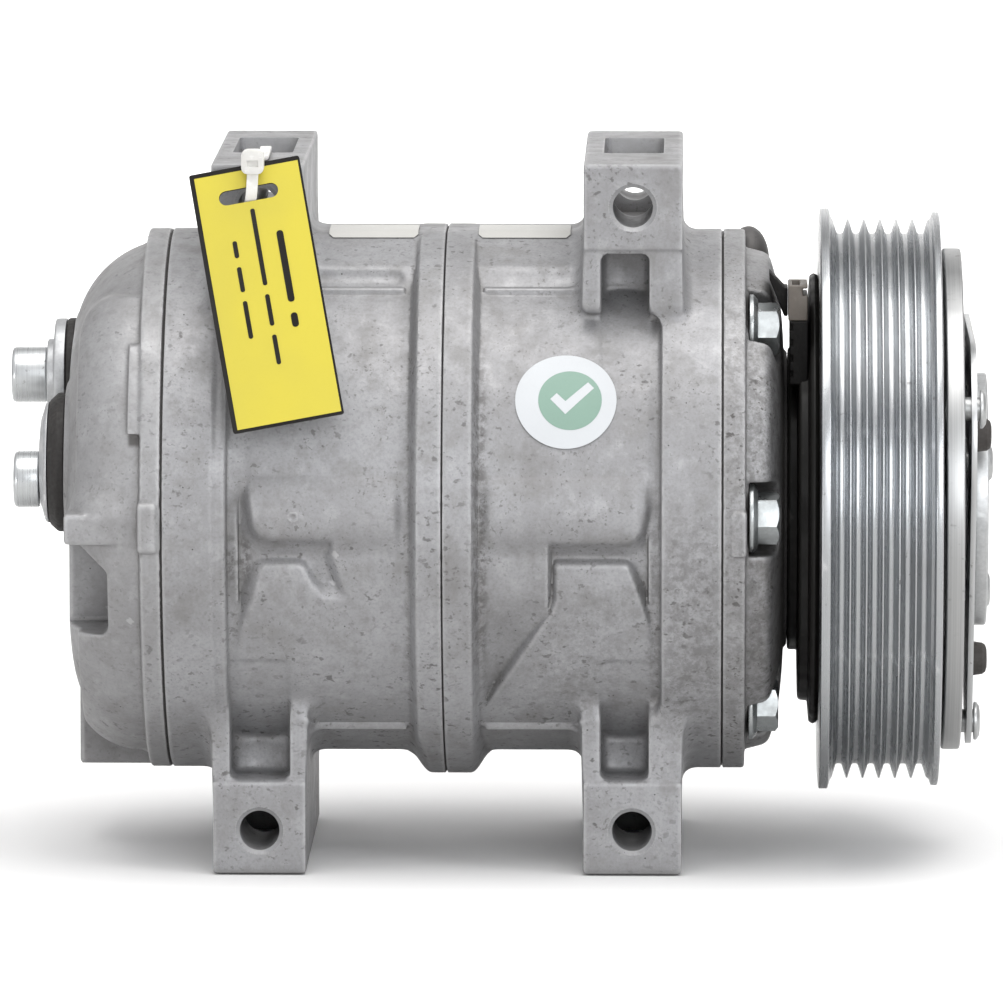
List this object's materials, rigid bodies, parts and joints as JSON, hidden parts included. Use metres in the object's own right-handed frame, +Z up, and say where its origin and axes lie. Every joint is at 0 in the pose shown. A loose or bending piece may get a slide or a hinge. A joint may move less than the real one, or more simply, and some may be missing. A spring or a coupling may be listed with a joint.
{
  "type": "automotive air conditioning compressor",
  "caption": "Fixed-displacement swash-plate air conditioning compressor with through-lug mounts, ribbed belt pulley and electromagnetic clutch.",
  "frame": {"origin": "centre of the shaft's front end face, on the shaft axis", "axes": "+X along the shaft out of the clutch, +Z up between the upper lugs, +Y towards the engine bracket side"},
  "size_m": [0.217, 0.1288, 0.1584],
  "materials": {
    "cast_aluminium": "die cast, shot blasted, matt",
    "piston_aluminium": "turned",
    "zinc_steel": "zinc plated",
    "machined_steel": "turned, bright",
    "bearing_steel": "ground",
    "black_rubber": "matt",
    "black_enamel": "black coated",
    "yellow_card": "satin card"
  },
  "bodies": {
    "housing": {"rear_cylinder": "cast_aluminium", "front_cylinder": "cast_aluminium", "rear_head": "cast_aluminium", "front_head": "cast_aluminium", "rear_valve_plate": "machined_steel", "front_valve_plate": "machined_steel", "through_bolt_1": "zinc_steel", "through_bolt_2": "zinc_steel", "through_bolt_3": "zinc_steel", "through_bolt_4": "zinc_steel", "through_bolt_5": "zinc_steel", "lower_port_gasket": "black_rubber", "lower_port_cover": "zinc_steel", "lower_port_bolt": "zinc_steel", "upper_port_gasket": "black_rubber", "upper_port_cover": "zinc_steel", "upper_port_bolt": "zinc_steel", "front_radial_bearing": "bearing_steel", "rear_radial_bearing": "bearing_steel", "front_thrust_bearing": "bearing_steel", "rear_thrust_bearing": "bearing_steel", "shaft_seal": "black_rubber", "clutch_coil": "black_enamel", "pulley_bearing": "bearing_steel", "hang_tag": "yellow_card"},
    "shaft": {"shaft": "machined_steel", "swash_plate": "bearing_steel", "hub": "zinc_steel", "hub_nut": "zinc_steel", "leaf_spring": "machined_steel", "rubber_stop_1": "black_rubber", "rubber_stop_2": "black_rubber", "rubber_stop_3": "black_rubber"},
    "armature": {"armature_plate": "machined_steel"},
    "pulley": {"pulley": "machined_steel"},
    "shoe_front_1": {"shoe_front_1": "bearing_steel"},
    "ball_front_1": {"ball_front_1": "bearing_steel"},
    "ball_rear_1": {"ball_rear_1": "bearing_steel"},
    "piston_1": {"piston_1": "piston_aluminium"},
    "shoe_rear_1": {"shoe_rear_1": "bearing_steel"},
    "shoe_front_2": {"shoe_front_2": "bearing_steel"},
    "ball_front_2": {"ball_front_2": "bearing_steel"},
    "ball_rear_2": {"ball_rear_2": "bearing_steel"},
    "piston_2": {"piston_2": "piston_aluminium"},
    "shoe_rear_2": {"shoe_rear_2": "bearing_steel"},
    "shoe_front_3": {"shoe_front_3": "bearing_steel"},
    "ball_front_3": {"ball_front_3": "bearing_steel"},
    "ball_rear_3": {"ball_rear_3": "bearing_steel"},
    "piston_3": {"piston_3": "piston_aluminium"},
    "shoe_rear_3": {"shoe_rear_3": "bearing_steel"},
    "shoe_front_4": {"shoe_front_4": "bearing_steel"},
    "ball_front_4": {"ball_front_4": "bearing_steel"},
    "ball_rear_4": {"ball_rear_4": "bearing_steel"},
    "piston_4": {"piston_4": "piston_aluminium"},
    "shoe_rear_4": {"shoe_rear_4": "bearing_steel"},
    "shoe_front_5": {"shoe_front_5": "bearing_steel"},
    "ball_front_5": {"ball_front_5": "bearing_steel"},
    "ball_rear_5": {"ball_rear_5": "bearing_steel"},
    "piston_5": {"piston_5": "piston_aluminium"},
    "shoe_rear_5": {"shoe_rear_5": "bearing_steel"}
  },
  "joints": [
    {"name": "shaft_spin", "type": "hinge", "parent": "housing", "child": "shaft", "pos_m": [-0.1186, 0, 0], "axis": [1, 0, 0], "continuous": true},
    {"name": "pulley_spin", "type": "hinge", "parent": "housing", "child": "pulley", "pos_m": [-0.0286, 0, 0], "axis": [1, 0, 0], "continuous": true},
    {"name": "armature_slide", "type": "slide", "parent": "shaft", "child": "armature", "axis": [1, 0, 0], "range_m": [-0.0005, 0], "stiffness_N_per_m": 8000},
    {"name": "shoe_front_slip_1", "type": "hinge", "parent": "shaft", "child": "shoe_front_1", "pos_m": [-0.10556, 0, 0], "axis": [0.9659, 0, -0.2588], "continuous": true},
    {"name": "ball_front_roll_1", "type": "hinge", "parent": "shoe_front_1", "child": "ball_front_1", "pos_m": [-0.10011, -0.0306, 0.02032], "axis": [0.9659, 0, -0.2588], "continuous": true},
    {"name": "ball_rear_roll_1", "type": "hinge", "parent": "ball_front_1", "child": "ball_rear_1", "pos_m": [-0.10011, -0.0306, 0.02032], "axis": [1, 0, 0], "continuous": true},
    {"name": "piston_stroke_1", "type": "hinge", "parent": "ball_rear_1", "child": "piston_1", "pos_m": [-0.1186, -0.03008, 0.02067], "axis": [1, 0, 0], "continuous": true},
    {"name": "shoe_rear_slip_1", "type": "hinge", "parent": "shaft", "child": "shoe_rear_1", "pos_m": [-0.13164, 0, 0], "axis": [0.9659, 0, -0.2588], "continuous": true},
    {"name": "shoe_front_slip_2", "type": "hinge", "parent": "shaft", "child": "shoe_front_2", "pos_m": [-0.10556, 0, 0], "axis": [0.9659, 0, -0.2588], "continuous": true},
    {"name": "ball_front_roll_2", "type": "hinge", "parent": "shoe_front_2", "child": "ball_front_2", "pos_m": [-0.09634, 0.01055, 0.03439], "axis": [0.9659, 0, -0.2588], "continuous": true},
    {"name": "ball_rear_roll_2", "type": "hinge", "parent": "ball_front_2", "child": "ball_rear_2", "pos_m": [-0.09634, 0.01055, 0.03439], "axis": [1, 0, 0], "continuous": true},
    {"name": "piston_stroke_2", "type": "hinge", "parent": "ball_rear_2", "child": "piston_2", "pos_m": [-0.1186, 0.01037, 0.035], "axis": [1, 0, 0], "continuous": true},
    {"name": "shoe_rear_slip_2", "type": "hinge", "parent": "shaft", "child": "shoe_rear_2", "pos_m": [-0.13164, 0, 0], "axis": [0.9659, 0, -0.2588], "continuous": true},
    {"name": "shoe_front_slip_3", "type": "hinge", "parent": "shaft", "child": "shoe_front_3", "pos_m": [-0.10556, 0, 0], "axis": [0.9659, 0, -0.2588], "continuous": true},
    {"name": "ball_front_roll_3", "type": "hinge", "parent": "shoe_front_3", "child": "ball_front_3", "pos_m": [-0.1053, 0.03712, 0.00094], "axis": [0.9659, 0, -0.2588], "continuous": true},
    {"name": "ball_rear_roll_3", "type": "hinge", "parent": "ball_front_3", "child": "ball_rear_3", "pos_m": [-0.1053, 0.03712, 0.00094], "axis": [1, 0, 0], "continuous": true},
    {"name": "piston_stroke_3", "type": "hinge", "parent": "ball_rear_3", "child": "piston_3", "pos_m": [-0.1186, 0.03649, 0.00096], "axis": [1, 0, 0], "continuous": true},
    {"name": "shoe_rear_slip_3", "type": "hinge", "parent": "shaft", "child": "shoe_rear_3", "pos_m": [-0.13164, 0, 0], "axis": [0.9659, 0, -0.2588], "continuous": true},
    {"name": "shoe_front_slip_4", "type": "hinge", "parent": "shaft", "child": "shoe_front_4", "pos_m": [-0.10556, 0, 0], "axis": [0.9659, 0, -0.2588], "continuous": true},
    {"name": "ball_front_roll_4", "type": "hinge", "parent": "shoe_front_4", "child": "ball_front_4", "pos_m": [-0.11461, 0.0124, -0.03381], "axis": [0.9659, 0, -0.2588], "continuous": true},
    {"name": "ball_rear_roll_4", "type": "hinge", "parent": "ball_front_4", "child": "ball_rear_4", "pos_m": [-0.11461, 0.0124, -0.03381], "axis": [1, 0, 0], "continuous": true},
    {"name": "piston_stroke_4", "type": "hinge", "parent": "ball_rear_4", "child": "piston_4", "pos_m": [-0.1186, 0.01218, -0.03441], "axis": [1, 0, 0], "continuous": true},
    {"name": "shoe_rear_slip_4", "type": "hinge", "parent": "shaft", "child": "shoe_rear_4", "pos_m": [-0.13164, 0, 0], "axis": [0.9659, 0, -0.2588], "continuous": true},
    {"name": "shoe_front_slip_5", "type": "hinge", "parent": "shaft", "child": "shoe_front_5", "pos_m": [-0.10556, 0, 0], "axis": [0.9659, 0, -0.2588], "continuous": true},
    {"name": "ball_front_roll_5", "type": "hinge", "parent": "shoe_front_5", "child": "ball_front_5", "pos_m": [-0.11141, -0.02946, -0.02183], "axis": [0.9659, 0, -0.2588], "continuous": true},
    {"name": "ball_rear_roll_5", "type": "hinge", "parent": "ball_front_5", "child": "ball_rear_5", "pos_m": [-0.11141, -0.02946, -0.02183], "axis": [1, 0, 0], "continuous": true},
    {"name": "piston_stroke_5", "type": "hinge", "parent": "ball_rear_5", "child": "piston_5", "pos_m": [-0.1186, -0.02896, -0.02222], "axis": [1, 0, 0], "continuous": true},
    {"name": "shoe_rear_slip_5", "type": "hinge", "parent": "shaft", "child": "shoe_rear_5", "pos_m": [-0.13164, 0, 0], "axis": [0.9659, 0, -0.2588], "continuous": true}
  ],
  "couplings": [
    {"joint": "shoe_front_slip_1", "follows": "shaft_spin", "ratio": -1},
    {"joint": "ball_front_roll_1", "follows": "shaft_spin", "ratio": 1},
    {"joint": "ball_rear_roll_1", "follows": "shaft_spin", "ratio": 1},
    {"joint": "piston_stroke_1", "follows": "shaft_spin", "ratio": -2},
    {"joint": "shoe_rear_slip_1", "follows": "shaft_spin", "ratio": -1},
    {"joint": "shoe_front_slip_2", "follows": "shaft_spin", "ratio": -1},
    {"joint": "ball_front_roll_2", "follows": "shaft_spin", "ratio": 1},
    {"joint": "ball_rear_roll_2", "follows": "shaft_spin", "ratio": 1},
    {"joint": "piston_stroke_2", "follows": "shaft_spin", "ratio": -2},
    {"joint": "shoe_rear_slip_2", "follows": "shaft_spin", "ratio": -1},
    {"joint": "shoe_front_slip_3", "follows": "shaft_spin", "ratio": -1},
    {"joint": "ball_front_roll_3", "follows": "shaft_spin", "ratio": 1},
    {"joint": "ball_rear_roll_3", "follows": "shaft_spin", "ratio": 1},
    {"joint": "piston_stroke_3", "follows": "shaft_spin", "ratio": -2},
    {"joint": "shoe_rear_slip_3", "follows": "shaft_spin", "ratio": -1},
    {"joint": "shoe_front_slip_4", "follows": "shaft_spin", "ratio": -1},
    {"joint": "ball_front_roll_4", "follows": "shaft_spin", "ratio": 1},
    {"joint": "ball_rear_roll_4", "follows": "shaft_spin", "ratio": 1},
    {"joint": "piston_stroke_4", "follows": "shaft_spin", "ratio": -2},
    {"joint": "shoe_rear_slip_4", "follows": "shaft_spin", "ratio": -1},
    {"joint": "shoe_front_slip_5", "follows": "shaft_spin", "ratio": -1},
    {"joint": "ball_front_roll_5", "follows": "shaft_spin", "ratio": 1},
    {"joint": "ball_rear_roll_5", "follows": "shaft_spin", "ratio": 1},
    {"joint": "piston_stroke_5", "follows": "shaft_spin", "ratio": -2},
    {"joint": "shoe_rear_slip_5", "follows": "shaft_spin", "ratio": -1}
  ]
}
